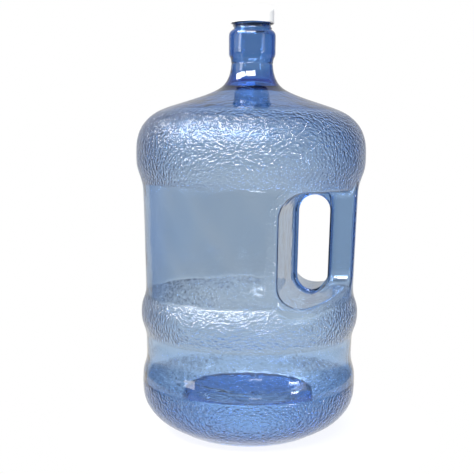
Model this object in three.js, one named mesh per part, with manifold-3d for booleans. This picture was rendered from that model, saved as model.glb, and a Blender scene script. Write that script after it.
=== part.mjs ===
// Large refillable water jug: a blow-moulded bottle with a through-grip
// handle, a screw cap and the liner disc inside the cap.
// Millimetres, +Z up. The origin is the centre of the foot ring, on the
// bottle's axis; the handle is on the +X side and the mould's parting plane
// is Y = 0.
import * as THREE from 'three';
import { mergeVertices } from 'three/addons/utils/BufferGeometryUtils.js';
import Module from 'manifold-3d';

const wasm = await Module();
wasm.setup();

// ------------------------------------------------------------ shared dimensions
const SEGMENTS = 40;         // facets round the bottle, cap and liner
const THREAD_PITCH = 4.2;    // single-start right-hand thread
const THREAD_PHASE = -0.5236;   // angle where both ridges start, radians

// ------------------------------------------------------------------- helpers
function solid(geometry) {
  geometry.deleteAttribute('normal');
  geometry.deleteAttribute('uv');
  const merged = mergeVertices(geometry, 1e-4);
  return new wasm.Manifold(new wasm.Mesh({
    numProp: 3,
    vertProperties: new Float32Array(merged.attributes.position.array),
    triVerts: new Uint32Array(merged.index.array),
  }));
}

function namedMesh(name, manifold, material) {
  const { vertProperties, triVerts } = manifold.getMesh();
  const geometry = new THREE.BufferGeometry();
  geometry.setAttribute('position',
    new THREE.BufferAttribute(new Float32Array(vertProperties), 3));
  geometry.setIndex(new THREE.BufferAttribute(new Uint32Array(triVerts), 1));
  geometry.computeVertexNormals();
  const mesh = new THREE.Mesh(geometry, material);
  mesh.name = name;
  return mesh;
}

// Solid of revolution about Z. The profile of [radius, height] points starts
// and ends on the axis and runs counterclockwise, with the axis on its left.
function revolve(profile) {
  const points = profile.map(([radius, z]) => new THREE.Vector2(radius, z));
  const geometry = new THREE.LatheGeometry(points, SEGMENTS);
  geometry.rotateX(Math.PI / 2);
  return solid(geometry);
}

// Helical thread ridge: a straight extruded bar bent round the axis. A crest
// radius below the base radius gives an internal thread.
function threadRidge({ baseR, crestR, baseWidth, crestWidth, startZ, turns, steps }) {
  // Shape x runs from base (0) to crest (1), y is height, depth is the way round.
  const section = new THREE.Shape();
  section.moveTo(0, -baseWidth / 2);
  section.lineTo(1, -crestWidth / 2);
  section.lineTo(1, crestWidth / 2);
  section.lineTo(0, baseWidth / 2);
  section.closePath();
  const geometry = new THREE.ExtrudeGeometry(section, { depth: 1, steps, bevelEnabled: false });

  const position = geometry.attributes.position;
  for (let i = 0; i < position.count; i++) {
    const along = position.getZ(i);
    // The ridge shrinks towards both ends.
    const fade = Math.min(1, 0.12 + Math.min(along, 1 - along) * turns * 9);
    const radius = baseR + (crestR - baseR) * position.getX(i) * fade;
    const angle = THREAD_PHASE + along * turns * 2 * Math.PI;
    const z = startZ + position.getY(i) * (0.4 + 0.6 * fade) + along * turns * THREAD_PITCH;
    position.setXYZ(i, radius * Math.cos(angle), radius * Math.sin(angle), z);
  }
  const ridge = solid(geometry);
  if (ridge.volume() >= 0) return ridge;

  // Bending turns an external ridge inside out, so its triangles are reversed.
  const reversed = [];
  for (let i = 0; i < position.count; i += 3) reversed.push(i, i + 2, i + 1);
  geometry.setIndex(reversed);
  return solid(geometry);
}

// Outline in XZ through [x, z, radius] corners, each rounded by an arc.
// Every corner gives the same number of points, so outlines can be lofted.
function roundedOutline(corners) {
  const POINTS_PER_CORNER = 4;
  const MAX_SIDE_SHARE = 0.48;   // most of a side that one arc may take up
  const MIN_TURN = 0.1;          // radians; a straighter corner isn't rounded
  const count = corners.length;
  const points = [];
  corners.forEach(([x, z, radius], i) => {
    const corner = new THREE.Vector2(x, z);
    const [toPrevious, toNext] = [i + count - 1, i + 1].map((k) => {
      const [otherX, otherZ] = corners[k % count];
      return new THREE.Vector2(otherX - x, otherZ - z);
    });
    const halfAngle = toPrevious.angleTo(toNext) / 2;
    const turn = Math.PI - 2 * halfAngle;
    if (turn <= MIN_TURN) {
      for (let j = 0; j < POINTS_PER_CORNER; j++) points.push([x, z]);
      return;
    }
    const setback = Math.min(radius / Math.tan(halfAngle),
      toPrevious.length() * MAX_SIDE_SHARE, toNext.length() * MAX_SIDE_SHARE);
    const arcR = setback * Math.tan(halfAngle);
    toPrevious.normalize();
    toNext.normalize();
    const bisector = toPrevious.clone().add(toNext).normalize();
    const centre = corner.clone().addScaledVector(bisector, Math.hypot(setback, arcR));
    const arcStart = corner.clone().addScaledVector(toPrevious, setback);
    const startAngle = arcStart.sub(centre).angle();
    const signedTurn = turn * Math.sign(toNext.cross(toPrevious));
    for (let j = 0; j < POINTS_PER_CORNER; j++) {
      const angle = startAngle + signedTurn * j / (POINTS_PER_CORNER - 1);
      points.push([centre.x + arcR * Math.cos(angle), centre.y + arcR * Math.sin(angle)]);
    }
  });
  return points;
}

// Closed loft through counterclockwise XZ outlines standing at rising Y positions.
function loft(ys, outlines) {
  const count = outlines[0].length;
  const last = ys.length - 1;
  const positions = ys.flatMap((y, k) => outlines[k].flatMap(([x, z]) => [x, y, z]));
  const triangles = [];
  for (let k = 0; k < last; k++) {
    for (let i = 0; i < count; i++) {
      const j = (i + 1) % count;
      const [here, hereNext] = [k * count + i, k * count + j];
      const [beyond, beyondNext] = [here + count, hereNext + count];
      triangles.push(here, beyond, hereNext, hereNext, beyond, beyondNext);
    }
  }
  const endFaces = (k) => THREE.ShapeUtils
    .triangulateShape(outlines[k].map(([x, z]) => new THREE.Vector2(x, z)), [])
    .map((face) => face.map((i) => k * count + i));
  for (const [a, b, c] of endFaces(0)) triangles.push(a, b, c);
  for (const [a, b, c] of endFaces(last)) triangles.push(a, c, b);

  const geometry = new THREE.BufferGeometry();
  geometry.setAttribute('position', new THREE.Float32BufferAttribute(positions, 3));
  geometry.setIndex(triangles);
  return solid(geometry);
}

// ------------------------------------------------------------- bottle profiles
const WALL_BODY = 1.35;      // blow-moulded wall of the body and handle
const NECK_RIM_Z = 492.5;    // sealing lip
const NECK_BORE_R = 18.1;
const NECK_ROOT_R = 20.9;    // neck between the thread's turns
const NECK_CREST_R = 22.3;
const NECK_THREAD_Z0 = 475.0;   // height where the ridge starts

// Outer skin from the foot ring to the neck rim, as [radius, height].
const OUTER = [
  [86.5, 0], [90, 0], [98.0, 4.7], [105.1, 8.7], [115.3, 15.2], [122.6, 21.5],
  [128.4, 28.7], [133.0, 37.0], [136.0, 46.5], [136.7, 56], [136.4, 74],
  [134.6, 83.0], [131.3, 93.5], [130.6, 101], [130.6, 124], [132.4, 133.0],
  [135.0, 139.9], [135.9, 147], [135.7, 157], [132.8, 168.6], [129.8, 177.0],
  [129.1, 184], [129.3, 299.0], [130.4, 307.5], [133.4, 317.2], [136.0, 326.6],
  [136.2, 336], [135.7, 347.5], [133.5, 358.5], [129.0, 368.5], [120.4, 378.5],
  [109.3, 385.8], [96.5, 390.9], [56.8, 403.2], [44.4, 407.9], [34.7, 413.2],
  [29.2, 419.5], [25.7, 427.3], [24.2, 435.5], [24.2, 441.5], [26.75, 446.8],
  [26.75, 468.4], [25.4, 471.2], [NECK_ROOT_R, 474.6],
  [NECK_ROOT_R, NECK_RIM_Z - 0.5], [NECK_ROOT_R - 0.5, NECK_RIM_Z],
];
// Air side of the push-up base, from the axis to the foot ring, as [radius, height].
const PUSH_UP_OUTSIDE = [
  [0, 34.0], [20, 35.4], [46, 39.9], [74.5, 45.2], [80.5, 44.2], [83.6, 39.0],
  [85.8, 1.8],
];
// Water side of the push-up base, from the axis to the foot fold, as [radius, height].
const PUSH_UP_INSIDE = [
  [0, 36.6], [20, 38.0], [46, 42.5], [74.5, 47.9], [81.8, 46.8],
  [85.9, 40.6], [87.8, 4.2], [91.2, 2.7],
];
// Water side of the neck, from its sharp inner root upwards, as [radius, height].
const NECK_INSIDE = [
  [33.5, 406.9], [27.4, 409.4], [22.9, 420.4], [21.1, 430.0], [20.9, 440.5],
  [22.9, 449.5], [22.9, 467.0], [18.3, 473.6], [NECK_BORE_R, 477],
];
// Body wall as [height, thickness]; the cone and the neck's root are the thickest.
const WALL = [
  [0, 2.2], [40, 2.0], [120, 1.5], [150, WALL_BODY], [368, WALL_BODY],
  [390, 2.1], [403, 3.7], [408, 4.1],
];
// The water side of the body follows the outer skin between these heights.
const BODY_INSIDE_FROM_Z = 3;
const BODY_INSIDE_TO_Z = 408.5;

function wallAt(z) {
  let i = 1;
  while (i < WALL.length - 1 && WALL[i][0] < z) i++;
  const [lowerZ, lowerWall] = WALL[i - 1];
  const [upperZ, upperWall] = WALL[i];
  const share = THREE.MathUtils.clamp((z - lowerZ) / (upperZ - lowerZ), 0, 1);
  return lowerWall + (upperWall - lowerWall) * share;
}

// Points of an upward profile moved by the wall to its left, towards the water.
function insetByWall(profile) {
  return profile.map(([radius, z], i) => {
    const before = profile[Math.max(0, i - 1)];
    const after = profile[Math.min(profile.length - 1, i + 1)];
    const dr = after[0] - before[0];
    const dz = after[1] - before[1];
    const length = Math.hypot(dr, dz);
    const wall = wallAt(z);
    return [radius - wall * dz / length, z + wall * dr / length];
  });
}

// ------------------------------------------------------ handle opening and pocket
const HOLE_LEFT = 59.6;      // X of the opening's side nearest the axis
const HOLE_RIGHT = 97.0;
const HOLE_BOTTOM = 181.0;
const HOLE_TOP = 294.5;
const HOLE_CORNER_R = 18.7;
const GRIP_HALF = 21.0;      // half width of the hollow grip
const GRIP_EDGE = 7;         // width over which the grip's inner face curves out to +X
const LIP_HALF = 2.6;        // half thickness of the fused lip round the opening
const DRAFT_DEPTH = 110.4;   // distance from the lip over which the draft is given
const OUTSIDE_X = 152;       // beyond the skin
const STRAIGHT_R = 0.5;      // corner radius where no real rounding is wanted

// Distances of the outlines from the parting plane. The grip's are moved in
// by the growth of the tool.
const LIP_STATIONS = [LIP_HALF, 3.0];
const GRIP_STATIONS = [14, 18, GRIP_HALF - 0.1, GRIP_HALF + 0.1];
const POCKET_STATIONS = [50, 90, 150];

// Corners of the closed opening beside the grip, counterclockwise from left-bottom.
function openingCorners({ left, right, bottom, top, bottomR, topR }) {
  return [
    [left, bottom, bottomR], [right, bottom, HOLE_CORNER_R],
    [right, 222, STRAIGHT_R], [right, 252, STRAIGHT_R],
    [right, top, HOLE_CORNER_R], [left, top, topR],
  ];
}

// Corners [x, z, radius] of the tool at a distance from the parting plane:
// the lip's opening, the wider opening inside the grip's width, or the
// pocket that runs out through the skin beyond it.
function pocketCorners(distance, growth) {
  if (growth === 0 && distance <= LIP_HALF) {
    return openingCorners({
      left: HOLE_LEFT, right: HOLE_RIGHT, bottom: HOLE_BOTTOM, top: HOLE_TOP,
      bottomR: HOLE_CORNER_R, topR: HOLE_CORNER_R,
    });
  }
  const draft = Math.max(0, distance - LIP_HALF) / DRAFT_DEPTH;
  const cappedDraft = Math.min(1, draft);
  const left = 55.4 - 9.8 * draft - growth;
  const bottom = 177.8 - 8.3 * cappedDraft - growth;
  const top = 297.3 + 4.7 * draft + growth;
  const bottomR = 22.5 + 4.5 * cappedDraft + growth;
  const topR = 22.5 + 6.5 * cappedDraft + growth;

  if (distance <= GRIP_HALF - growth) {
    const edge = Math.max(0, distance - (GRIP_HALF - growth - GRIP_EDGE)) / GRIP_EDGE;
    const right = HOLE_RIGHT + 0.7 + growth + 6.5 * edge * edge;
    return openingCorners({ left, right, bottom, top, bottomR, topR });
  }
  const pastGrip = distance - GRIP_HALF;
  const sill = Math.max(180.0 + 15.1 * Math.exp(-pastGrip / 34) - growth, bottom);
  const ceiling = 300 + 3.0 * pastGrip / 100 + growth;
  return [
    [left, bottom, bottomR], [92, bottom + 1.0, 8], [108, sill, 7],
    [OUTSIDE_X, sill - 2.5, STRAIGHT_R], [OUTSIDE_X, ceiling, STRAIGHT_R],
    [left, Math.max(top, ceiling), topR],
  ];
}

// Finger pocket and through-opening, grown on every side. The grown tool has no lip.
function pocketTool(growth) {
  const distances = [
    ...(growth === 0 ? LIP_STATIONS : []),
    ...GRIP_STATIONS.map((distance) => distance - growth),
    ...POCKET_STATIONS,
  ];
  const ys = [...distances.map((distance) => -distance).reverse(), 0, ...distances];
  return loft(ys, ys.map((y) => roundedOutline(pocketCorners(Math.abs(y), growth))));
}

// -------------------------------------------------------------------- bottle
function bottle() {
  const outside = revolve([...PUSH_UP_OUTSIDE, ...OUTER, [0, NECK_RIM_Z]]);
  const bodySkin = OUTER.filter(([, z]) => z > BODY_INSIDE_FROM_Z && z < BODY_INSIDE_TO_Z);
  const inside = revolve([
    ...PUSH_UP_INSIDE, ...insetByWall(bodySkin), ...NECK_INSIDE,
    [NECK_BORE_R, NECK_RIM_Z + 2], [0, NECK_RIM_Z + 2],
  ]);
  // Growing the pocket by the wall leaves a skin round it and a hollow grip.
  const hollow = inside.subtract(pocketTool(WALL_BODY));
  const thread = threadRidge({
    baseR: NECK_ROOT_R - 0.5, crestR: NECK_CREST_R, baseWidth: 2.6, crestWidth: 1.0,
    startZ: NECK_THREAD_Z0, turns: 3.4, steps: 58,
  });
  return outside.add(thread).subtract(pocketTool(0)).subtract(hollow);
}

// ----------------------------------------------------------------------- cap
const CAP_R = 24.7;
const CAP_BOTTOM_Z = 480.0;
const CAP_TOP_Z = 495.6;
const CAP_INSIDE_TOP_Z = 494.0;
const CAP_BORE_R = 22.95;
const CAP_CREST_R = 21.45;
const CAP_RIM_BEVEL = 0.4;
// The cap thread runs midway between the turns of the neck thread.
const CAP_THREAD_Z0 = NECK_THREAD_Z0 + 1.5 * THREAD_PITCH;

function screwCap() {
  const shell = revolve([
    [0, CAP_INSIDE_TOP_Z], [CAP_BORE_R, CAP_INSIDE_TOP_Z],
    [CAP_BORE_R, CAP_BOTTOM_Z + CAP_RIM_BEVEL], [CAP_BORE_R + CAP_RIM_BEVEL, CAP_BOTTOM_Z],
    [CAP_R - CAP_RIM_BEVEL, CAP_BOTTOM_Z], [CAP_R, CAP_BOTTOM_Z + CAP_RIM_BEVEL],
    [CAP_R, CAP_TOP_Z - 1.7], [CAP_R - 0.25, CAP_TOP_Z - 0.8],
    [CAP_R - 0.9, CAP_TOP_Z - 0.3], [CAP_R - 1.9, CAP_TOP_Z], [0, CAP_TOP_Z],
  ]);
  return shell.add(threadRidge({
    baseR: CAP_BORE_R + 0.4, crestR: CAP_CREST_R, baseWidth: 2.3, crestWidth: 0.9,
    startZ: CAP_THREAD_Z0, turns: 1.5, steps: 30,
  }));
}

// --------------------------------------------------------------------- liner
const LINER_R = 22.4;
const LINER_BOTTOM_Z = 492.8;
const LINER_TOP_Z = 493.7;
const LINER_BEVEL = 0.15;

function capLiner() {
  return revolve([
    [0, LINER_BOTTOM_Z], [LINER_R - LINER_BEVEL, LINER_BOTTOM_Z],
    [LINER_R, LINER_BOTTOM_Z + LINER_BEVEL], [LINER_R, LINER_TOP_Z - LINER_BEVEL],
    [LINER_R - LINER_BEVEL, LINER_TOP_Z], [0, LINER_TOP_Z],
  ]);
}

// ------------------------------------------------------------------ assembly
const tintedClear = new THREE.MeshStandardMaterial({
  color: 0x9fb6dd, roughness: 0.08, metalness: 0, transparent: true, opacity: 0.55,
});
const whitePlastic = new THREE.MeshStandardMaterial({
  color: 0xf4f4f2, roughness: 0.45, metalness: 0,
});
const paleFoam = new THREE.MeshStandardMaterial({
  color: 0xe9edf0, roughness: 0.85, metalness: 0,
});

const jug = new THREE.Group();
jug.name = 'water_jug';
jug.add(namedMesh('bottle', bottle(), tintedClear));
jug.add(namedMesh('screw_cap', screwCap(), whitePlastic));
jug.add(namedMesh('cap_liner', capLiner(), paleFoam));

export default jug;
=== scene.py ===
import bpy
import math
import numpy as np
from mathutils import Vector, Matrix, Euler


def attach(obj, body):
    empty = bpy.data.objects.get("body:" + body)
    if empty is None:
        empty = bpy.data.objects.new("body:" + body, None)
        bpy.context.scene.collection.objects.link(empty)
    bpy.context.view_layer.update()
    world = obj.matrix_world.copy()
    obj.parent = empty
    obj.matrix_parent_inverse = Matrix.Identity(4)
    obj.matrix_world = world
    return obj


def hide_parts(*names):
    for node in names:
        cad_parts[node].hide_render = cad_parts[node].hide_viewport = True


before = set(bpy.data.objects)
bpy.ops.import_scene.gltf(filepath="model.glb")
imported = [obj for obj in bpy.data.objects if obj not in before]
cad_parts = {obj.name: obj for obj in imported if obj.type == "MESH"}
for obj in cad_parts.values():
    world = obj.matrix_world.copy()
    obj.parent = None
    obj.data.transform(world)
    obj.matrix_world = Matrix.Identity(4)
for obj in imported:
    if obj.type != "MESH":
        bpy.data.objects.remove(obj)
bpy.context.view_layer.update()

scene = bpy.context.scene
MM = 0.001

# ---------------------------------------------------------------- dimensions
# All in millimetres, in the row frame: +Z up, handle on +X.
T_BODY = 1.2
PITCH = 4.2
NECK_ROOT, NECK_CREST = 20.9, 22.3
NECK_Z0, NECK_TURNS, NECK_PHASE = 475.0, 3.4, -0.5236
CAP_BORE, CAP_CREST, CAP_TURNS = 22.95, 21.45, 1.5
CAP_T0 = NECK_Z0 + 1.5 * PITCH
Z_LOW, Z_HIGH = 158.0, 320.0          # the handle's stretch of the body

BODY_CTRL = [                          # outer skin, foot ring to neck finish
    (86.9, 0.0), (89.6, 0.0), (91.6, 0.7), (94.2, 2.1), (99.2, 5.4), (105.1, 8.7),
    (110.4, 11.8), (115.3, 15.2), (119.9, 18.9), (124.3, 23.4), (128.2, 28.4),
    (131.5, 33.7), (134.1, 39.3), (135.7, 45.4), (136.5, 50.5), (136.7, 56.0),
    (136.7, 63.0), (136.5, 70.0), (136.2, 75.5), (135.4, 80.0), (134.0, 84.3),
    (132.6, 88.8), (131.5, 92.8), (130.9, 97.0), (130.6, 102.0), (130.6, 112.0),
    (130.6, 122.0), (131.0, 127.3), (132.0, 131.8), (133.4, 135.8), (134.7, 139.7),
    (135.5, 143.7), (135.9, 148.5), (135.9, 154.0), (135.5, 158.5), (134.7, 162.6),
    (133.4, 166.6), (131.7, 170.8), (130.3, 175.0), (129.5, 179.5), (129.2, 185.0),
    (129.1, 200.0), (129.1, 225.0), (129.1, 250.0), (129.2, 275.0), (129.3, 295.0),
    (129.4, 300.0), (129.9, 304.6), (130.9, 309.3), (132.3, 314.1), (134.0, 318.8),
    (135.4, 323.5), (136.1, 328.4), (136.2, 334.0), (136.0, 340.0), (135.7, 346.5),
    (135.3, 351.0), (134.4, 355.4), (133.1, 359.7), (131.4, 364.1), (129.0, 368.5),
    (125.8, 372.9), (121.7, 377.2), (116.4, 381.5), (109.2, 385.9), (98.6, 390.2),
    (85.0, 394.4), (70.4, 398.8), (56.8, 403.2), (44.4, 407.9), (35.6, 412.6),
    (31.0, 416.9), (28.2, 421.2), (26.3, 425.4), (25.0, 429.6), (24.3, 433.9),
]
NECK_CTRL = [                          # neck, collar and finish
    (24.3, 433.9), (24.1, 436.2), (24.1, 437.1), (23.6, 437.6), (23.6, 438.3),
    (24.1, 438.8), (24.2, 441.2), (24.7, 443.2), (25.8, 445.4), (26.5, 446.9),
    (26.75, 448.5), (26.75, 457.0), (26.75, 466.8), (26.5, 468.8), (25.6, 470.8),
    (23.8, 472.5), (21.8, 473.9), (21.0, 475.0), (20.9, 476.5), (20.9, 484.0),
    (20.9, 491.2), (20.6, 492.1), (19.9, 492.5),
]
BORE_CTRL = [                          # inside, from the sealing lip to the neck's root
    (18.9, 492.5), (18.4, 492.2), (18.1, 491.5), (18.0, 484.0), (18.0, 476.4),
    (18.3, 474.2), (19.5, 472.0), (21.4, 470.0), (22.7, 467.6), (22.9, 462.0),
    (22.9, 451.8), (22.6, 448.6), (21.8, 446.0), (21.1, 443.0), (20.9, 438.4),
    (20.95, 434.0), (21.15, 429.5), (21.7, 425.0), (23.0, 420.0), (24.7, 415.3),
    (26.9, 411.0), (27.6, 409.9), (29.2, 409.4), (33.0, 409.0), (36.6, 408.3), (40.2, 406.9),
]
PUNT_AIR = [                           # push-up base, air side, axis to foot
    (0.0, 34.0), (6.0, 34.1), (14.0, 34.7), (24.0, 36.0), (36.0, 38.0),
    (50.0, 40.6), (62.0, 43.0), (70.0, 44.7), (75.0, 45.3), (79.0, 44.9),
    (81.8, 43.2), (83.2, 40.2), (83.7, 36.0), (84.6, 20.0), (85.6, 4.0),
    (86.0, 1.3), (86.9, 0.0),
]
PUNT_WATER = [                         # heel inside, foot fold, water side, axis
    (103.7, 10.7), (98.0, 7.7), (93.6, 5.0), (91.1, 3.6), (89.5, 3.1), (88.5, 3.6),
    (88.0, 5.2), (87.2, 20.0), (86.4, 36.0), (85.9, 41.4), (84.1, 45.4),
    (80.4, 47.6), (75.0, 48.1), (70.0, 47.4), (62.0, 45.7), (50.0, 43.2),
    (36.0, 40.6), (24.0, 38.6), (14.0, 37.3), (6.0, 36.7), (0.0, 36.6),
]


def spline(ctrl, step=0.1):
    """Centripetal Catmull-Rom through the control points, sampled finely."""
    p = np.array(ctrl, float)
    p = np.vstack([2 * p[0] - p[1], p, 2 * p[-1] - p[-2]])
    out = []
    for i in range(1, len(p) - 2):
        a, b, c, d = p[i - 1], p[i], p[i + 1], p[i + 2]
        t0 = 0.0
        t1 = t0 + max(np.linalg.norm(b - a), 1e-6) ** 0.5
        t2 = t1 + max(np.linalg.norm(c - b), 1e-6) ** 0.5
        t3 = t2 + max(np.linalg.norm(d - c), 1e-6) ** 0.5
        n = max(2, int(np.linalg.norm(c - b) / step))
        t = np.linspace(t1, t2, n, endpoint=False)[:, None]
        A1 = (t1 - t) / (t1 - t0) * a + (t - t0) / (t1 - t0) * b
        A2 = (t2 - t) / (t2 - t1) * b + (t - t1) / (t2 - t1) * c
        A3 = (t3 - t) / (t3 - t2) * c + (t - t2) / (t3 - t2) * d
        B1 = (t2 - t) / (t2 - t0) * A1 + (t - t0) / (t2 - t0) * A2
        B2 = (t3 - t) / (t3 - t1) * A2 + (t - t1) / (t3 - t1) * A3
        out.append((t2 - t) / (t2 - t1) * B1 + (t - t1) / (t2 - t1) * B2)
    out.append(p[-2:-1])
    return np.vstack(out)


def resample(p, step):
    s = np.concatenate([[0], np.cumsum(np.hypot(*np.diff(p, axis=0).T))])
    n = max(2, int(round(s[-1] / step)) + 1)
    t = np.linspace(0, s[-1], n)
    return np.column_stack([np.interp(t, s, p[:, 0]), np.interp(t, s, p[:, 1])])


def soften(p, step, sigma):
    """Gaussian smoothing along the curve, ends held."""
    k = int(4 * sigma / step)
    if k < 1:
        return p
    w = np.exp(-0.5 * (np.arange(-k, k + 1) * step / sigma) ** 2)
    w /= w.sum()
    q = np.vstack([2 * p[0] - p[k:0:-1], p, 2 * p[-1] - p[-2:-k - 2:-1]])
    return np.column_stack([np.convolve(q[:, i], w, "valid") for i in (0, 1)])


STEP = 0.1
body = soften(resample(spline(BODY_CTRL[3:]), STEP), STEP, 2.6)
foot = soften(resample(spline(BODY_CTRL[:4]), STEP), STEP, 0.25)
neck = soften(resample(spline(NECK_CTRL), STEP), STEP, 0.28)
bore = soften(resample(spline(BORE_CTRL), STEP), STEP, 0.45)
punt_air = soften(resample(spline(PUNT_AIR), STEP), STEP, 0.7)
punt_water = soften(resample(spline(PUNT_WATER), STEP), STEP, 0.5)


def tangent(p):
    d = np.gradient(p, axis=0)
    return d / np.hypot(*d.T)[:, None]


def offset(p, t):
    """Moves a curve that climbs along the skin towards the bottle's inside."""
    d = tangent(p)
    return p + np.column_stack([-d[:, 1], d[:, 0]]) * np.reshape(t, (-1, 1))


# inner skin of the body: the outer one moved in by the wall's thickness
body_t = np.interp(body[:, 1], [8, 30, 55, 80, 100, 125, 150, 325, 360, 378, 385, 392, 403, 412],
                   [3.2, 2.8, 2.7, 1.8, 1.3, T_BODY, T_BODY, T_BODY, 1.7, 2.3, 2.6, 2.75, 2.85, 3.0])
body_in = offset(body, body_t)
body_in = body_in[(body[:, 1] > 9.5) & (body[:, 1] < 408.2)]


def radius_of(curve):
    keep = np.concatenate([[True], np.diff(np.maximum.accumulate(curve[:, 1])) > 0])
    return curve[keep, 1], curve[keep, 0]


OUT_Z, OUT_R = radius_of(body)
OUT_SLOPE = np.gradient(OUT_R, OUT_Z)

# ------------------------------------------------------------ distance fields


def round_and(a, b, r):
    u, v = np.maximum(r + a, 0), np.maximum(r + b, 0)
    return np.minimum(-r, np.maximum(a, b)) + np.sqrt(u * u + v * v)


def round_or(a, b, r):
    u, v = np.maximum(r - a, 0), np.maximum(r - b, 0)
    return np.maximum(r, np.minimum(a, b)) - np.sqrt(u * u + v * v)


def rounded_rect(x, z, xl, xr, zb, zt, rb, rt):
    cx, cz = (xl + xr) / 2, (zb + zt) / 2
    bx, bz = (xr - xl) / 2, (zt - zb) / 2
    r = np.minimum(np.where(z < cz, rb, rt), bx - 0.01)
    qx, qz = np.abs(x - cx) - bx + r, np.abs(z - cz) - bz + r
    return np.minimum(np.maximum(qx, qz), 0) + np.hypot(np.maximum(qx, 0), np.maximum(qz, 0)) - r


def smoothstep(x, a, b):
    t = np.clip((x - a) / (b - a), 0, 1)
    return t * t * (3 - 2 * t)


GRIP_HALF = 21.0
GRIP_X = 97.7                          # inner face of the hollow grip
LIP = 2.6                              # half thickness of the fused lip round the opening


def pocket_void(x, y, z, lip):
    """Negative inside the finger pockets and the opening, with or without its fused lip."""
    a = np.sqrt(y * y + 0.25)
    flare = np.minimum(np.maximum(a - 2.5, 0) / 110.5, 1.15)
    left = 55.4 - 9.8 * flare
    over = np.maximum(a - GRIP_HALF, 0)
    near_grip = 180.0 + 15.1 * np.exp(-over / 34.0)
    low = 177.8 - 3.0 * np.minimum(flare, 1)
    floor = low + (near_grip - low) * smoothstep(x, 76, 110)
    roof = 297.3 + 4.7 * flare
    roof = roof + (299.6 + 2.4 * np.minimum(over / 80, 1) - roof) * smoothstep(x, 84, 99)
    curl = smoothstep(np.hypot(x, y), 121.5, 130.0) * (1 - smoothstep(a, 25, 50)) * smoothstep(x, 100, 112)
    roof = roof + 8.5 * curl
    rb = 22.5 + 4.5 * np.minimum(flare, 1)
    rt = 22.5 + 6.5 * np.minimum(flare, 1)
    wide = round_and(round_and(left - x, floor - z, rb), z - roof, rt)
    base = 1 - smoothstep(z, 182, 226)
    bar = round_and(GRIP_X - x, a - GRIP_HALF, 8.0)
    wide = round_and(wide, -bar, 8.0 + 5.0 * base)
    hole = rounded_rect(x, z, 59.6, 97.0, 181.0, 294.5, 18.7, 18.7)
    wide = round_or(wide, round_and(hole - 2.3, a - 15, 5.0), 4.0)
    if not lip:
        return wide
    return round_or(round_and(wide, LIP - a, 1.5), round_and(hole, a - 9, 1.0), 2.2)


def wave(x, y, z, k):
    """Slow unevenness of a blown wall, millimetres."""
    return (0.07 * np.sin(x / 17.0 + 1.3 * k + 0.6 * np.sin(z / 29.0 + k))
            * np.sin(z / 23.0 + 0.7 * k) + 0.06 * np.sin(y / 13.0 + x / 31.0 + 2.1 * k)
            * np.cos(z / 37.0 - k) + 0.03 * np.sin((x + y) / 9.0 + z / 11.0 + k))


def skin(x, y, z, t):
    r = np.hypot(x, y)
    R = np.interp(z, OUT_Z, OUT_R)
    s = np.interp(z, OUT_Z, OUT_SLOPE)
    f = (r - R) / np.sqrt(1 + s * s)
    fade = smoothstep(z, Z_LOW, Z_LOW + 12) * (1 - smoothstep(z, Z_HIGH - 12, Z_HIGH))
    f = f + wave(x, y, z, 1.0 if t == 0 else 4.0) * fade * (1.0 if t == 0 else 1.3)
    edge = 3.8 + 2.6 * smoothstep(x, 100, 118) + 3.6 * (1 - smoothstep(z, 172, 196))
    # the hollow grip is blown a little thicker than the panels
    grip = (smoothstep(x, 95, 103) * (1 - smoothstep(np.abs(y), 26, 40))
            * smoothstep(z, 190, 204) * (1 - smoothstep(z, 292, 306)))
    return round_and(f, -pocket_void(x, y, z, t == 0), edge) + t * (1 + 0.7 * grip)


# -------------------------------------------------------- surface extraction


def surface_nets(xs, ys, zs, t):
    X, Y, Z = np.meshgrid(xs, ys, zs, indexing="ij")
    F = skin(X, Y, Z, t)
    F = np.where(np.abs(F) < 1e-6, 1e-6, F)
    nx, ny, nz = F.shape
    neg = F < 0
    cells = (nx - 1, ny - 1, nz - 1)
    acc = np.zeros((np.prod(cells), 3))
    cnt = np.zeros(np.prod(cells))
    coords = (xs, ys, zs)
    edges = []
    for ax in range(3):
        lo = [slice(None)] * 3
        hi = [slice(None)] * 3
        lo[ax], hi[ax] = slice(0, -1), slice(1, None)
        cross = np.argwhere(neg[tuple(lo)] != neg[tuple(hi)])
        i, j, k = cross.T
        ij = [i, j, k]
        nxt = [i.copy(), j.copy(), k.copy()]
        nxt[ax] = nxt[ax] + 1
        fa, fb = F[i, j, k], F[nxt[0], nxt[1], nxt[2]]
        w = fa / (fa - fb)
        pts = np.column_stack([coords[d][ij[d]] for d in range(3)]).astype(float)
        pts[:, ax] += w * (coords[ax][ij[ax] + 1] - coords[ax][ij[ax]])
        u, v = (ax + 1) % 3, (ax + 2) % 3
        quad, ok_all = [], np.ones(len(i), bool)
        for du, dv in ((-1, -1), (0, -1), (0, 0), (-1, 0)):
            c = [ij[0].copy(), ij[1].copy(), ij[2].copy()]
            c[u] = c[u] + du
            c[v] = c[v] + dv
            ok = np.ones(len(i), bool)
            for d in range(3):
                ok &= (c[d] >= 0) & (c[d] < cells[d])
            flat = (c[0] * cells[1] + c[1]) * cells[2] + c[2]
            flat = np.where(ok, flat, 0)
            np.add.at(acc, flat[ok], pts[ok])
            np.add.at(cnt, flat[ok], 1)
            quad.append(flat)
            ok_all &= ok
        q = np.column_stack(quad)[ok_all]
        flip = ~neg[i, j, k][ok_all]          # outside to inside along +axis
        q[flip] = q[flip][:, ::-1]
        edges.append(q)
    quads = np.vstack(edges)
    used = np.unique(quads)
    index = np.full(np.prod(cells), -1)
    index[used] = np.arange(len(used))
    verts = acc[used] / cnt[used][:, None]
    layer = used % cells[2]
    return verts, index[quads], layer, cells[2] - 1


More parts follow.
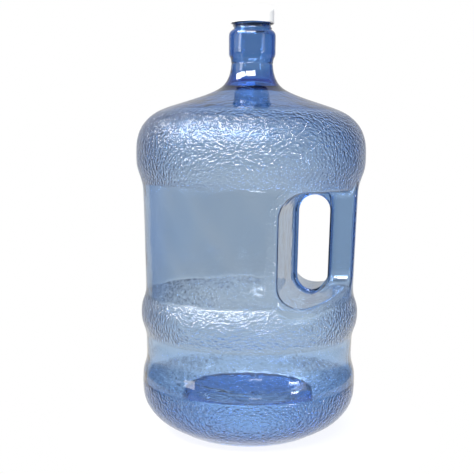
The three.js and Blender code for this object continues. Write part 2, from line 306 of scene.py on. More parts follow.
def grad(p, t, e=0.03):
    g = np.empty_like(p)
    for d in range(3):
        q, r = p.copy(), p.copy()
        q[:, d] += e
        r[:, d] -= e
        g[:, d] = (skin(*q.T, t) - skin(*r.T, t)) / (2 * e)
    return g


def project(p, t, rounds=3):
    for _ in range(rounds):
        f = skin(*p.T, t)
        g = grad(p, t)
        n2 = np.maximum((g * g).sum(1), 0.05)
        step = (f / n2)[:, None] * g
        ln = np.linalg.norm(step, axis=1)
        step *= np.minimum(1, 1.5 / np.maximum(ln, 1e-9))[:, None]
        p = p - step
    return p


def lines(lo, hi, fine_lo, fine_hi, coarse, fine):
    a = np.arange(lo, fine_lo, coarse)
    b = np.arange(fine_lo, fine_hi, fine)
    c = np.arange(fine_hi, hi + coarse, coarse)
    return np.unique(np.concatenate([a, b, c]))


def handle_stretch(t):
    """The body between Z_LOW and Z_HIGH as (verts, quads, low loop, high loop)."""
    fine = 2.5 if t == 0 else 2.9
    xs = lines(-139.3, 140, 30, 140, 4.4 if t == 0 else 5.0, fine)
    ys = np.arange(-139.9, 140.5, 2.7 if t == 0 else 3.1)
    nz = 63 if t == 0 else 55
    zs = np.linspace(Z_LOW, Z_HIGH, nz)
    v, q, layer, last = surface_nets(xs, ys, zs, t)
    e = np.sort(np.vstack([q[:, [0, 1]], q[:, [1, 2]], q[:, [2, 3]], q[:, [3, 0]]]), axis=1)
    e, times = np.unique(e, axis=0, return_counts=True)
    rim = np.zeros(len(v), bool)
    rim[np.unique(e[times == 1])] = True
    low, high = rim & (layer <= 1), rim & (layer >= last - 1)
    inner_rows = ~rim
    v[inner_rows] = project(v[inner_rows], t)
    # even out the spacing, then back on to the surface
    for _ in range(3):
        s = np.zeros_like(v)
        c = np.zeros(len(v))
        for a, b in ((0, 1), (1, 2), (2, 3), (3, 0)):
            np.add.at(s, q[:, a], v[q[:, b]])
            np.add.at(s, q[:, b], v[q[:, a]])
            np.add.at(c, q[:, a], 1)
            np.add.at(c, q[:, b], 1)
        mean = s / c[:, None]
        v[inner_rows] = 0.45 * v[inner_rows] + 0.55 * mean[inner_rows]
        v[inner_rows] = project(v[inner_rows], t, 2)
    for rows, zz in ((low, Z_LOW), (high, Z_HIGH)):
        R = np.interp(zz, OUT_Z, OUT_R)
        s = np.interp(zz, OUT_Z, OUT_SLOPE)
        R = R - t * math.sqrt(1 + s * s)
        r = np.hypot(v[rows, 0], v[rows, 1])
        v[rows, 0] *= R / r
        v[rows, 1] *= R / r
        v[rows, 2] = zz
    n = grad(v, t)
    n /= np.linalg.norm(n, axis=1)[:, None]
    loops = []
    for rows in (low, high):
        ids = np.where(rows)[0]
        loops.append(ids[np.argsort(np.arctan2(v[ids, 1], v[ids, 0]))])
    return v, n, q, loops[0], loops[1]


# ------------------------------------------------------------- mesh assembly


class Mesh:
    def __init__(self):
        self.v, self.n, self.f = [], [], []
        self.count = 0

    def add(self, v, n):
        self.v.append(np.asarray(v, float))
        self.n.append(np.asarray(n, float))
        start = self.count
        self.count += len(v)
        return np.arange(start, self.count)

    def all_v(self):
        return np.vstack(self.v)


def angles(mesh_v, ids):
    a = np.arctan2(mesh_v[ids, 1], mesh_v[ids, 0])
    return np.where(a < -1e-9, a + 2 * np.pi, a)


def zipper(faces, va, A, aa, B, ab, flip):
    """Triangles between two rings given in rising angle order."""
    na, nb = len(A), len(B)
    if na == nb and np.allclose(aa, ab, atol=1e-6):
        for i in range(na):
            j = (i + 1) % na
            f = (A[i], A[j], B[j], B[i])
            faces.append(f[::-1] if flip else f)
        return
    i = j = 0
    while i < na or j < nb:
        ai = aa[i + 1] if i + 1 < na else aa[0] + 2 * np.pi
        bj = ab[j + 1] if j + 1 < nb else ab[0] + 2 * np.pi
        if j >= nb or (i < na and ai <= bj):
            f = (A[i % na], A[(i + 1) % na], B[j % nb])
            i += 1
        else:
            f = (A[i % na], B[(j + 1) % nb], B[j % nb])
            j += 1
        faces.append(f[::-1] if flip else f)


def ring_count(r, h=3.6):
    for m in (232, 176, 128, 96, 64, 40, 24, 12):
        if 2 * math.pi * r / m >= h * 0.86:
            return m
    return 12


def choose(curve, lo, hi, turn=0.14, longest=5.5, shortest=0.35):
    """Indices along a dense curve, closer where it bends."""
    d = tangent(curve)
    ang = np.unwrap(np.arctan2(d[:, 1], d[:, 0]))
    s = np.concatenate([[0], np.cumsum(np.hypot(*np.diff(curve, axis=0).T))])
    keep = [lo]
    for i in range(lo + 1, hi + 1):
        ds = s[i] - s[keep[-1]]
        if ds >= longest or (ds >= shortest and abs(ang[i] - ang[keep[-1]]) >= turn):
            keep.append(i)
    if keep[-1] != hi:
        keep.append(hi)
    return keep


def revolve_into(mesh, curve, keep, start_ring, sign, counts=None, shape=None, flip=False):
    """Adds rings along a curve. start_ring is (ids, angles) to join, or None."""
    d = tangent(curve)
    prev = start_ring
    for n_, i in enumerate(keep):
        r, z = curve[i]
        nr, nz = sign * d[i, 1], -sign * d[i, 0]
        if r < 1e-3:
            ids = mesh.add([[0, 0, z]], [[0, 0, 1.0 if nz > 0 else -1.0]])
            A, aa = prev
            for k in range(len(A)):
                f = (A[k], A[(k + 1) % len(A)], ids[0])
                mesh.f.append(f[::-1] if flip else f)
            return None
        m = counts(r, z) if counts else ring_count(r)
        a = np.arange(m) * 2 * np.pi / m
        rr = np.full(m, r)
        nn = np.column_stack([nr * np.cos(a), nr * np.sin(a), np.full(m, nz)])
        if shape is not None:
            rr, nn = shape(a, r, z, nn)
        ids = mesh.add(np.column_stack([rr * np.cos(a), rr * np.sin(a), np.full(m, z)]), nn)
        if prev is not None:
            zipper(mesh.f, None, prev[0], prev[1], ids, a, flip)
        prev = (ids, a)
    return prev


def neck_thread(a, r, z, nn):
    """The finish's helical ridge, added to a plain ring."""
    def ridge(zz):
        u = (zz - NECK_Z0) / PITCH
        best = np.full(a.shape, 9.0)
        fade = np.zeros(a.shape)
        th = (a - NECK_PHASE) / (2 * np.pi)
        for k in range(-1, 6):
            turn = th + k
            d = np.abs(u - turn) * PITCH
            inside = (turn >= -0.02) & (turn <= NECK_TURNS + 0.02)
            f = np.clip(np.minimum(turn, NECK_TURNS - turn) * 9, 0, 1)
            better = inside & (d < best)
            best = np.where(better, d, best)
            fade = np.where(better, f, fade)
        prof = 1 - smoothstep(best, 0.35, 1.35)
        return (NECK_CREST - NECK_ROOT) * prof * fade
    if z < 474.2 or z > 491.5 or r < 19.9:
        return np.full(a.shape, r), nn
    h = ridge(z)
    dz = (ridge(z + 0.05) - ridge(z - 0.05)) / 0.1
    n = nn.copy()
    n[:, 2] -= dz
    n /= np.linalg.norm(n, axis=1)[:, None]
    return r + h, n


def build_bottle():
    m = Mesh()
    vo, no, qo, lo_o, hi_o = handle_stretch(0.0)
    ids_o = m.add(vo, no)
    m.f.extend(map(tuple, ids_o[qo]))
    vi, ni, qi, lo_i, hi_i = handle_stretch(T_BODY)
    ids_i = m.add(vi, -ni)
    m.f.extend(map(tuple, ids_i[qi][:, ::-1]))
    V = m.all_v()

    def loop(ids):
        a = angles(V, ids)
        o = np.argsort(a)
        return ids[o], a[o]

    # outer skin: up from the handle stretch to the lip and down the bore
    top = body[body[:, 1] > Z_HIGH + 1.6]
    keep = choose(top, 0, len(top) - 1, 0.09, 4.6, 0.8)
    ring = revolve_into(m, top, keep, loop(ids_o[hi_o]), 1)
    count = lambda r, z: 128 if z > 473.9 and r > 19.6 else 112
    keep = choose(neck, 3, len(neck) - 1, 0.12, 2.6, 0.3)
    fine = [i for i in range(3, len(neck)) if 474.2 <= neck[i, 1] <= 491.2]
    keep = sorted(set([i for i in keep if not 474.2 <= neck[i, 1] <= 491.2] + fine[::4] + [len(neck) - 1]))
    ring = revolve_into(m, neck, keep, ring, 1, count, neck_thread)
    # sealing lip and the inside of the neck, heading down
    keep = choose(bore, 0, len(bore) - 1, 0.13, 3.0, 0.3)
    ring = revolve_into(m, bore, keep, ring, 1, lambda r, z: 112 if r < 34 else 128)
    inside = body_in[::-1]
    top_in = inside[inside[:, 1] > Z_HIGH + 2.0]
    keep = choose(top_in, 6, len(top_in) - 1, 0.11, 6.0, 1.0)
    ring = revolve_into(m, top_in, keep, ring, 1, lambda r, z: ring_count(r, 4.4))
    A, aa = loop(ids_i[hi_i])
    zipper(m.f, None, ring[0], ring[1], A, aa, False)
    # outer skin: down from the handle stretch to the foot and the push-up
    low = np.vstack([foot[:-1], body])
    low = low[low[:, 1] < Z_LOW - 1.6][::-1]
    keep = choose(low, 0, len(low) - 1, 0.09, 4.2, 0.5)
    ring = revolve_into(m, low, keep, loop(ids_o[lo_o]), -1, flip=True)
    under = punt_air[::-1]
    keep = choose(under, 4, len(under) - 1, 0.12, 4.6, 0.6)
    revolve_into(m, under, keep, ring, -1, flip=True)
    # inner skin: down to the foot fold, over the push-up to the axis
    low_in = body_in[::-1]
    low_in = low_in[(low_in[:, 1] < Z_LOW - 2.0) & (low_in[:, 1] > 11.5)]
    keep = choose(low_in, 0, len(low_in) - 1, 0.11, 5.6, 0.8)
    small = lambda r, z: ring_count(r, 4.4)
    ring = revolve_into(m, low_in, keep, loop(ids_i[lo_i]), 1, small)
    keep = choose(punt_water, 8, len(punt_water) - 1, 0.12, 5.0, 0.5)
    revolve_into(m, punt_water, keep, ring, 1, small)
    return m


def to_object(name, mesh, smooth=True):
    V = mesh.all_v() * MM
    V[:, 2] = np.maximum(V[:, 2], 0)
    N = np.vstack(mesh.n)
    me = bpy.data.meshes.new(name)
    me.from_pydata(V.tolist(), [], [tuple(int(i) for i in f) for f in mesh.f])
    me.update()
    me.polygons.foreach_set("use_smooth", np.ones(len(me.polygons), bool))
    me.validate(clean_customdata=False)
    if smooth:
        N = N / np.maximum(np.linalg.norm(N, axis=1), 1e-9)[:, None]
        me.normals_split_custom_set_from_vertices(N.tolist())
    ob = bpy.data.objects.new(name, me)
    scene.collection.objects.link(ob)
    return ob


def pebble_mask(m):
    """1 where the mould is textured: the two bands, the heel and the rim of the pocket."""
    V, N = m.all_v(), np.vstack(m.n)
    x, y, z = V.T
    r = np.hypot(x, y)
    out = (x * N[:, 0] + y * N[:, 1]) / np.maximum(r, 1e-6)
    R = np.interp(z, OUT_Z, OUT_R)
    on_skin = (np.abs(r - R) < 1.1) & (z > 3.0)
    k = smoothstep(z, 306, 310) * (1 - smoothstep(z, 381, 388))
    k = np.maximum(k, smoothstep(z, 127, 131) * (1 - smoothstep(z, 172, 177)))
    k = np.maximum(k, 1 - smoothstep(z, 60, 69))
    d = pocket_void(x, y, z, True)
    low = 1 - smoothstep(z, 180, 200)
    border = smoothstep(d, 1.0, 3.5) * (1 - smoothstep(d, 9, 13)) * ((z > 190) & (z < 318) & (x > 20))
    k = np.where(d < 20, np.minimum(k, smoothstep(d, 0.5 + 8 * low, 3.5 + 13 * low)), k)
    k = np.maximum(k, 0.4 * border)
    return np.where(on_skin & (out > 0.05), k, 0.0)


# ------------------------------------------------------------- node helpers


class Nodes:
    def __init__(self, name):
        self.mat = bpy.data.materials.new(name)
        self.mat.use_nodes = True
        self.t = self.mat.node_tree
        self.t.nodes.clear()
        self.out = self.add("ShaderNodeOutputMaterial")

    def add(self, kind, **props):
        n = self.t.nodes.new(kind)
        for k, v in props.items():
            setattr(n, k, v)
        return n

    def link(self, a, b):
        self.t.links.new(a, b)

    def put(self, socket, value):
        if hasattr(value, "links"):
            self.link(value, socket)
        else:
            socket.default_value = value

    def math(self, op, a, b=0.0, c=0.0, clamp=False):
        n = self.add("ShaderNodeMath", operation=op, use_clamp=clamp)
        for i, v in enumerate((a, b, c)):
            self.put(n.inputs[i], v)
        return n.outputs[0]

    def coords(self):
        return self.add("ShaderNodeTexCoord").outputs["Object"]

    def noise(self, vector, scale, detail=2.0, rough=0.5, distortion=0.0):
        n = self.add("ShaderNodeTexNoise")
        self.put(n.inputs["Vector"], vector)
        n.inputs["Scale"].default_value = scale
        n.inputs["Detail"].default_value = detail
        n.inputs["Roughness"].default_value = rough
        n.inputs["Distortion"].default_value = distortion
        return n.outputs["Fac"]

    def cells(self, vector, scale, smooth=0.35, randomness=1.0):
        n = self.add("ShaderNodeTexVoronoi", feature="SMOOTH_F1")
        self.put(n.inputs["Vector"], vector)
        n.inputs["Scale"].default_value = scale
        n.inputs["Smoothness"].default_value = smooth
        n.inputs["Randomness"].default_value = randomness
        return n.outputs["Distance"]

    def mix(self, fac, a, b):
        n = self.add("ShaderNodeMix", data_type="RGBA")
        self.put(n.inputs[0], fac)
        self.put(n.inputs[6], a)
        self.put(n.inputs[7], b)
        return n.outputs[2]

    def remap(self, v, a, b, c, d):
        n = self.add("ShaderNodeMapRange")
        for i, x in enumerate((v, a, b, c, d)):
            self.put(n.inputs[i], x)
        return n.outputs[0]

    def bump(self, height, distance, strength=1.0, normal=None):
        n = self.add("ShaderNodeBump")
        n.inputs["Distance"].default_value = distance
        self.put(n.inputs["Strength"], strength)
        self.put(n.inputs["Height"], height)
        if normal is not None:
            self.link(normal, n.inputs["Normal"])
        return n.outputs[0]


def bottle_material():
    """Clear blue polycarbonate: tint from the thickness of the wall, pebbled where the mould is."""
    k = Nodes("clear_blue_polycarbonate")
    co = k.coords()
    mask = k.add("ShaderNodeAttribute", attribute_name="pebble").outputs["Fac"]
    warp = k.add("ShaderNodeVectorMath", operation="MULTIPLY_ADD")
    nz = k.add("ShaderNodeTexNoise")
    k.link(co, nz.inputs["Vector"])
    nz.inputs["Scale"].default_value = 150.0
    nz.inputs["Detail"].default_value = 1.0
    k.link(nz.outputs["Color"], warp.inputs[0])
    warp.inputs[1].default_value = (0.0012, 0.0012, 0.0012)
    k.link(co, warp.inputs[2])
    big = k.cells(warp.outputs[0], 290.0, 0.1)
    small = k.cells(warp.outputs[0], 470.0, 0.1)
    mixed = k.math("MULTIPLY_ADD", small, 0.5, big)
    peb = k.math("MULTIPLY", mixed, mask)
    slow = k.noise(co, 46.0, 2.0, 0.55)
    fine = k.noise(co, 900.0, 2.0, 0.6)
    sep = k.add("ShaderNodeSeparateXYZ")
    k.link(co, sep.inputs[0])
    # seam of the two mould halves, a little prouder where the base was pinched off
    off = k.math("ABSOLUTE", sep.outputs["Y"])
    rad2 = k.math("ADD", k.math("MULTIPLY", sep.outputs["X"], sep.outputs["X"]),
                  k.math("MULTIPLY", sep.outputs["Y"], sep.outputs["Y"]))
    rad = k.math("SQRT", rad2)
    base = k.math("MULTIPLY", k.remap(rad, 0.085, 0.089, 1.0, 0.0),
                  k.remap(sep.outputs["Z"], 0.052, 0.056, 1.0, 0.0))
    seam = k.remap(off, 0.0004, 0.0011, 1.0, 0.0)
    pinch = k.math("MULTIPLY", k.remap(off, 0.0008, 0.0026, 1.0, 0.0), base)
    skin_side = k.remap(rad, 0.1285, 0.1288, 0.0, 1.0)
    seam = k.math("MULTIPLY", seam, k.math("MAXIMUM", skin_side, k.remap(sep.outputs["Z"], 0.398, 0.402, 0.0, 1.0)))
    raised = k.math("MULTIPLY_ADD", seam, 0.16, k.math("MULTIPLY", pinch, 1.5))
    # three plain dial rings moulded in the base
    for cx, cy, rr in ((-31.5, 64.6, 6.6), (0.5, 68.0, 5.4), (35.0, 70.5, 6.8)):
        v = k.add("ShaderNodeVectorMath", operation="SUBTRACT")
        k.link(co, v.inputs[0])
        v.inputs[1].default_value = (cx * MM, cy * MM, 0.0)
        flat = k.add("ShaderNodeVectorMath", operation="MULTIPLY")
        k.link(v.outputs[0], flat.inputs[0])
        flat.inputs[1].default_value = (1.0, 1.0, 0.0)
        ln = k.add("ShaderNodeVectorMath", operation="LENGTH")
        k.link(flat.outputs[0], ln.inputs[0])
        for r_ in (rr, rr * 0.45):
            ring = k.remap(k.math("ABSOLUTE", k.math("SUBTRACT", ln.outputs["Value"], r_ * MM)),
                           0.0003, 0.0011, 0.9, 0.0)
            raised = k.math("ADD", raised, k.math("MULTIPLY", ring, base))
    b1 = k.bump(peb, 0.00125, 1.0)
    b2 = k.bump(slow, 0.00042, 1.0, b1)
    b3 = k.bump(fine, 0.000010, 1.0, b2)
    b3 = k.bump(raised, 0.0009, 1.0, b3)
    # the blown base is faintly wrinkled
    b3 = k.bump(k.math("MULTIPLY", k.noise(co, 62.0, 2.0, 0.5), base), 0.0010, 1.0, b3)
    p = k.add("ShaderNodeBsdfPrincipled")
    p.inputs["Base Color"].default_value = (0.985, 0.992, 1.0, 1)
    p.inputs["IOR"].default_value = 1.585
    p.inputs["Transmission Weight"].default_value = 1.0
    rough = k.remap(k.noise(co, 35.0, 3.0), 0.3, 0.7, 0.01, 0.03)
    rough = k.math("MULTIPLY_ADD", mask, 0.01, rough)
    k.link(rough, p.inputs["Roughness"])
    k.link(b3, p.inputs["Normal"])
    clear = k.add("ShaderNodeBsdfTransparent")
    clear.inputs["Color"].default_value = (0.90, 0.93, 0.96, 1)
    path = k.add("ShaderNodeLightPath")
    mix = k.add("ShaderNodeMixShader")
    k.link(path.outputs["Is Shadow Ray"], mix.inputs[0])
    k.link(p.outputs[0], mix.inputs[1])
    k.link(clear.outputs[0], mix.inputs[2])
    k.link(mix.outputs[0], k.out.inputs["Surface"])
    vol = k.add("ShaderNodeVolumeAbsorption")
    vol.inputs["Color"].default_value = (0.085, 0.467, 0.833, 1)
    vol.inputs["Density"].default_value = 300.0
    k.link(vol.outputs[0], k.out.inputs["Volume"])
    return k.mat


def plastic_material(name, color, rough, tint, glow=0.0):
    k = Nodes(name)
    co = k.coords()
    n1 = k.noise(co, 120.0, 3.0, 0.6)
    n2 = k.noise(co, 2600.0, 2.0, 0.5)
    p = k.add("ShaderNodeBsdfPrincipled")
    k.link(k.mix(n1, color, tint), p.inputs["Base Color"])
    k.link(k.remap(n1, 0.3, 0.7, rough - 0.05, rough + 0.06), p.inputs["Roughness"])
    p.inputs["IOR"].default_value = 1.49
    if glow:                           # painted light: a faint emission that brightens the part, not a lamp
        p.inputs["Emission Color"].default_value = (1.0, 1.0, 0.985, 1)
        p.inputs["Emission Strength"].default_value = glow
    k.link(k.bump(n2, 0.00003, 0.8, k.bump(n1, 0.00012, 0.6)), p.inputs["Normal"])
    k.link(p.outputs[0], k.out.inputs["Surface"])
    return k.mat


def foam_material():
    k = Nodes("liner_foam")
    co = k.coords()
    c = k.cells(co, 2600.0, 0.2)
    n = k.noise(co, 500.0, 4.0, 0.6)
    p = k.add("ShaderNodeBsdfPrincipled")
    k.link(k.mix(n, (0.74, 0.77, 0.79, 1), (0.86, 0.88, 0.89, 1)), p.inputs["Base Color"])
    p.inputs["Roughness"].default_value = 0.82
    k.link(k.bump(c, 0.00012, 0.9), p.inputs["Normal"])
    k.link(p.outputs[0], k.out.inputs["Surface"])
    return k.mat


# ------------------------------------------------------------------- bottle
bm_ = build_bottle()
bottle = to_object("jug_bottle_shell", bm_)
att = bottle.data.attributes.new("pebble", "FLOAT", "POINT")
att.data.foreach_set("value", pebble_mask(bm_).astype(np.float32))
bottle.data.materials.append(bottle_material())
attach(bottle, "jug_body")
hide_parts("bottle")

# ---------------------------------------------------------------------- cap
CAP_CTRL = [
    (0.0, 495.6), (10.0, 495.6), (19.4, 495.58), (21.9, 495.5), (23.4, 495.15),
    (24.3, 494.2), (24.6, 492.9), (24.62, 488.0), (24.68, 482.0), (24.7, 480.8),
    (24.45, 480.2), (24.0, 480.0), (23.6, 480.1), (23.3, 480.5), (23.03, 481.2),
    (22.95, 482.5), (22.95, 486.0), (22.95, 492.2), (22.8, 493.4), (22.1, 493.95),
    (20.5, 494.0), (11.5, 494.0), (0.0, 494.0),
]


def cap_thread(a, r, z, nn):
    if abs(r - CAP_BORE) > 0.2 or not 481.0 < z < 492.5:
        return np.full(a.shape, r), nn
    def ridge(zz):
        u = (zz - CAP_T0) / PITCH
        th = (a - NECK_PHASE) / (2 * np.pi)
        best, fade = np.full(a.shape, 9.0), np.zeros(a.shape)
        for k in range(-1, 4):
            turn = th + k
            d = np.abs(u - turn) * PITCH
            inside = (turn >= 0) & (turn <= CAP_TURNS)
            f = np.clip(np.minimum(turn, CAP_TURNS - turn) * 9, 0, 1)
            better = inside & (d < best)
            best, fade = np.where(better, d, best), np.where(better, f, fade)
        return (CAP_BORE - CAP_CREST) * (1 - smoothstep(best, 0.3, 1.2)) * fade
    h = ridge(z)
    dz = (ridge(z + 0.05) - ridge(z - 0.05)) / 0.1
    n = nn.copy()
    n[:, 2] -= dz
    n /= np.linalg.norm(n, axis=1)[:, None]
    return r - h, n


def build_cap():
    m = Mesh()
    cap = soften(resample(spline(CAP_CTRL, 0.05), 0.05), 0.05, 0.12)
    cap[0, 0] = cap[-1, 0] = 0.0
    keep = choose(cap, 30, len(cap) - 1, 0.14, 2.4, 0.12)
    down = [i for i in range(len(cap)) if abs(cap[i, 0] - CAP_BORE) < 0.05 and 481.3 < cap[i, 1] < 492.3]
    keep = sorted(set([i for i in keep if i not in down] + down[::8]))
    # pole at the middle of the top
    ids = m.add([[0, 0, cap[0, 1]]], [[0, 0, 1.0]])
    count = lambda r, z: 96 if r > 12 else (48 if r > 4 else 24)
    first = cap[keep[0]]
    c = count(first[0], 0)
    a = np.arange(c) * 2 * np.pi / c
    d = tangent(cap)
    ring_ids = m.add(np.column_stack([first[0] * np.cos(a), first[0] * np.sin(a), np.full(c, first[1])]),
                     np.tile([0, 0, 1.0], (c, 1)))
    for i in range(c):
        m.f.append((ids[0], ring_ids[i], ring_ids[(i + 1) % c]))
    revolve_into(m, cap, keep[1:], (ring_ids, a), -1, count, cap_thread, flip=True)
    return m


cap_mesh = build_cap()
cap = to_object("jug_screw_cap", cap_mesh)
# painted light: the last argument gives the cap a faint glow that brightens it
cap.data.materials.append(plastic_material("white_cap_plastic", (0.77, 0.76, 0.72, 1), 0.36, (0.82, 0.81, 0.77, 1), 0.03))
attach(cap, "cap")
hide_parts("screw_cap")

# -------------------------------------------------------------------- liner
LINER_CTRL = [
    (0.0, 493.66), (8.0, 493.66), (17.0, 493.66), (21.7, 493.68), (22.2, 493.6),
    (22.4, 493.3), (22.35, 492.98), (22.05, 492.84), (21.4, 492.84), (20.5, 492.9),
    (19.5, 492.92), (18.7, 492.86), (17.6, 492.82), (8.0, 492.82), (0.0, 492.82),
]


def build_liner():
    m = Mesh()
    c = soften(resample(spline(LINER_CTRL, 0.04), 0.04), 0.04, 0.06)
    c[0, 0] = c[-1, 0] = 0.0
    keep = choose(c, 30, len(c) - 1, 0.16, 2.6, 0.08)
    ids = m.add([[0, 0, c[0, 1]]], [[0, 0, 1.0]])
    count = lambda r, z: 80 if r > 12 else (40 if r > 4 else 20)
    first = c[keep[0]]
    n = count(first[0], 0)
    a = np.arange(n) * 2 * np.pi / n
    ring_ids = m.add(np.column_stack([first[0] * np.cos(a), first[0] * np.sin(a), np.full(n, first[1])]),
                     np.tile([0, 0, 1.0], (n, 1)))
    for i in range(n):
        m.f.append((ids[0], ring_ids[i], ring_ids[(i + 1) % n]))
    revolve_into(m, c, keep[1:], (ring_ids, a), -1, count, flip=True)
    return m


liner = to_object("jug_cap_liner", build_liner())
liner.data.materials.append(foam_material())
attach(liner, "liner")
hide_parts("cap_liner")

# -------------------------------------------------------------------- stage
bpy.ops.mesh.primitive_plane_add(size=14.0, location=(0, 0, 0))
floor = bpy.context.object
floor.name = "studio_floor"
kf = Nodes("studio_floor")
co = kf.coords()
dist = kf.add("ShaderNodeVectorMath", operation="LENGTH")
kf.link(co, dist.inputs[0])
path = kf.add("ShaderNodeLightPath")
speck = kf.noise(co, 60.0, 3.0)
dif = kf.add("ShaderNodeBsdfDiffuse")
dif.inputs["Color"].default_value = (0.90, 0.90, 0.90, 1)
kf.link(kf.bump(speck, 0.0002, 0.3), dif.inputs["Normal"])
# painted light: the floor glows white under and round the jug, dimmer and warmer farther out
glow = kf.add("ShaderNodeEmission")
kf.link(kf.mix(kf.remap(dist.outputs["Value"], 0.16, 0.42, 0.0, 1.0), (1.0, 1.0, 1.0, 1), (0.88, 0.84, 0.78, 1)),
        glow.inputs["Color"])
white_glow = kf.add("ShaderNodeEmission")
white_glow.inputs["Color"].default_value = (1, 1, 1, 1)
# seen directly: white with a trace of contact shadow
seen = kf.add("ShaderNodeMixShader")
kf.link(kf.remap(dist.outputs["Value"], 0.11, 0.25, 0.90, 1.0), seen.inputs[0])
kf.link(dif.outputs[0], seen.inputs[1])
kf.link(white_glow.outputs[0], seen.inputs[2])
# seen through or in the jug: a glowing table, a painted pool of light brightest under the jug, that gives way to the
# surroundings
gone = kf.add("ShaderNodeBsdfTransparent")
lit = kf.add("ShaderNodeMixShader")
kf.link(kf.remap(dist.outputs["Value"], 0.50, 0.72, 0.0, 1.0), lit.inputs[0])
kf.link(glow.outputs[0], lit.inputs[1])
kf.link(gone.outputs[0], lit.inputs[2])
pick = kf.add("ShaderNodeMixShader")
kf.link(path.outputs["Is Camera Ray"], pick.inputs[0])
kf.link(lit.outputs[0], pick.inputs[1])
kf.link(seen.outputs[0], pick.inputs[2])
kf.link(pick.outputs[0], kf.out.inputs["Surface"])
floor.data.materials.append(kf.mat)

world = bpy.data.worlds.new("studio")
scene.world = world
world.use_nodes = True
wt = world.node_tree
wt.nodes.clear()
wout = wt.nodes.new("ShaderNodeOutputWorld")
geo = wt.nodes.new("ShaderNodeTexCoord")
sep = wt.nodes.new("ShaderNodeSeparateXYZ")
wt.links.new(geo.outputs["Generated"], sep.inputs[0])


def wmath(op, a, b=0.0):
    n = wt.nodes.new("ShaderNodeMath")
    n.operation = op
    for i, v in enumerate((a, b)):
        if hasattr(v, "links"):
            wt.links.new(v, n.inputs[i])
        else:
            n.inputs[i].default_value = v
    return n.outputs[0]


def wramp(value, stops):
    n = wt.nodes.new("ShaderNodeValToRGB")
    wt.links.new(value, n.inputs[0])
    el = n.color_ramp.elements
    while len(el) < len(stops):
        el.new(0.5)
    for e_, (pos, c) in zip(el, stops):
        e_.position = pos
        e_.color = (*c, 1) if isinstance(c, tuple) else (c, c, c, 1)
    return n.outputs[0]


# azimuth: 0 in front, +90 on the handle's side, +-180 behind
az_ = wmath("ARCTAN2", sep.outputs["X"], wmath("MULTIPLY", sep.outputs["Y"], -1.0))
az_ = wmath("ADD", wmath("MULTIPLY", az_, 1.0 / (2 * math.pi)), 0.5)
DARK = (0.31, 0.41, 0.68)
AZ_STOPS = [(-180, 0.90), (-176, 0.85), (-170, 0.85), (-164, 1.0), (-130, 1.0), (-125, DARK), (-100, DARK), (-88, 0.42),
            (-50, 0.50), (50, 0.50), (72, 0.42), (84, DARK), (146, DARK), (159, 1.0), (172, 1.0), (180, 0.90)]
around = wramp(az_, [((a_ + 180.0) / 360.0, v) for a_, v in AZ_STOPS])
EL_STOPS = [(-90, (1.0, 1.0, 1.0)), (-24, (1.0, 1.0, 1.0)), (-13, (0.86, 0.82, 0.77)), (-10, (0.64, 0.63, 0.62)),
            (-6, (0.67, 0.67, 0.67)), (6, (0.67, 0.675, 0.68)), (18, (0.62, 0.63, 0.65)), (31, (0.56, 0.61, 0.72)),
            (62, (0.56, 0.61, 0.72)), (90, (0.6, 0.62, 0.66))]
z_ = wmath("ADD", wmath("MULTIPLY", sep.outputs["Z"], 0.5), 0.5)
height = wramp(z_, [(0.5 + 0.5 * math.sin(math.radians(e_)), c) for e_, c in EL_STOPS])
shade = wt.nodes.new("ShaderNodeMix")
shade.data_type = "RGBA"
shade.blend_type = "MULTIPLY"
# the azimuth shading fades out towards the ceiling and straight down
side_w = wramp(z_, [(0.0, 0.0), (0.5 + 0.5 * math.sin(math.radians(-45)), 0.4), (0.5 + 0.5 * math.sin(math.radians(-15)), 1.0),
                    (0.5 + 0.5 * math.sin(math.radians(13)), 1.0), (0.5 + 0.5 * math.sin(math.radians(27)), 0.25),
                    (0.5 + 0.5 * math.sin(math.radians(45)), 0.0), (1.0, 0.0)])
wt.links.new(side_w, shade.inputs[0])
wt.links.new(height, shade.inputs[6])
wt.links.new(around, shade.inputs[7])
env = wt.nodes.new("ShaderNodeBackground")
wt.links.new(shade.outputs[2], env.inputs[0])
env.inputs[1].default_value = 1.0
white = wt.nodes.new("ShaderNodeBackground")
white.inputs[0].default_value = (1, 1, 1, 1)
white.inputs[1].default_value = 1.0
lp = wt.nodes.new("ShaderNodeLightPath")
wm = wt.nodes.new("ShaderNodeMixShader")
wt.links.new(lp.outputs["Is Camera Ray"], wm.inputs[0])
wt.links.new(env.outputs[0], wm.inputs[1])
wt.links.new(white.outputs[0], wm.inputs[2])
wt.links.new(wm.outputs[0], wout.inputs["Surface"])


def softbox(name, az, el, dist, size, power, target=(0, 0, 0.30), tint=(1, 1, 1), spin=0.0):
    """A rectangular studio light. Azimuth 0 is the front, elevation above the horizon."""
    d = bpy.data.lights.new(name, "AREA")
    d.shape = "RECTANGLE"
    d.size, d.size_y = size
    d.energy = power
    d.color = tint
    o = bpy.data.objects.new(name, d)
    scene.collection.objects.link(o)
    a, e_ = math.radians(az), math.radians(el)
    back = Vector((math.sin(a) * math.cos(e_), -math.cos(a) * math.cos(e_), math.sin(e_)))
    o.location = Vector(target) + back * dist
    o.rotation_mode = "QUATERNION"
    q = (-back).to_track_quat("-Z", "Y")
    o.rotation_quaternion = q @ Euler((0, 0, math.radians(spin))).to_quaternion()
    return o


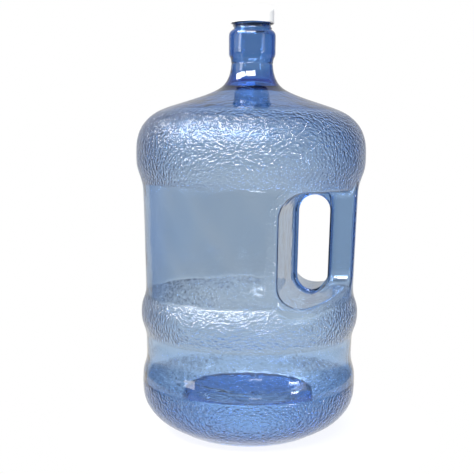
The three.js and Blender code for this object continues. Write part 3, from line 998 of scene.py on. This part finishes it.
softbox("window_band_left", -62, 45, 1.9, (1.4, 0.62), 60)
softbox("left_window", -57, 16, 1.9, (0.46, 1.0), 7)
softbox("left_scrim", -79, 20, 1.9, (0.80, 1.2), 3)
softbox("window_band_front", 0, 45, 1.9, (1.4, 0.62), 62)
softbox("table_glow", 13, -7.8, 0.96, (0.22, 0.03), 0.15, target=(0, 0, 0.16))
softbox("right_strip", 55, 1.5, 2.0, (0.36, 0.13), 3.2)
softbox("right_scrim", 62, 12, 2.1, (0.5, 0.7), 1.6)

# ------------------------------------------------------------------- camera
AZ = math.radians(7.0)
CAM_D, CAM_Z, PITCH_DOWN, ROLL = 1.0333, 0.3546, 19.58, 0.62
cam_data = bpy.data.cameras.new("camera")
cam = bpy.data.objects.new("camera", cam_data)
scene.collection.objects.link(cam)
cam_data.sensor_fit = "HORIZONTAL"
cam_data.sensor_width = 36.0
cam_data.lens = 36.0 * 819.0 / 474.0
cam.location = (CAM_D * math.sin(AZ), -CAM_D * math.cos(AZ), CAM_Z)
rot = (Matrix.Rotation(AZ, 4, "Z") @ Matrix.Rotation(math.radians(90.0 - PITCH_DOWN), 4, "X")
       @ Matrix.Rotation(math.radians(ROLL), 4, "Z"))
cam.rotation_mode = "QUATERNION"
cam.rotation_quaternion = rot.to_quaternion()
cam_data.clip_start, cam_data.clip_end = 0.05, 60.0
SHIFT = {"shift_x": (237.0 - 248.1) / 474.0, "shift_y": (432.0 - 237.0) / 474.0}
for prop, value in SHIFT.items():
    setattr(cam_data, prop, value)
    drv = cam_data.driver_add(prop).driver
    drv.type = "SCRIPTED"
    var = drv.variables.new()
    var.name = "lx"
    var.type = "SINGLE_PROP"
    var.targets[0].id = cam
    var.targets[0].data_path = "location[0]"
    drv.expression = f"{value:.6f} if abs(lx - {cam.location[0]:.6f}) < 0.0005 else 0.0"
scene.camera = cam

scene.view_settings.view_transform = "Standard"
scene.view_settings.look = "None"
scene.view_settings.exposure = 0.0
scene.cycles.max_bounces = 20
scene.cycles.transmission_bounces = 18
scene.cycles.glossy_bounces = 6
scene.cycles.diffuse_bounces = 3
scene.cycles.transparent_max_bounces = 24
scene.cycles.caustics_reflective = False
scene.cycles.caustics_refractive = False
scene.cycles.use_denoising = True
scene.cycles.seed = 7

bpy.context.view_layer.update()
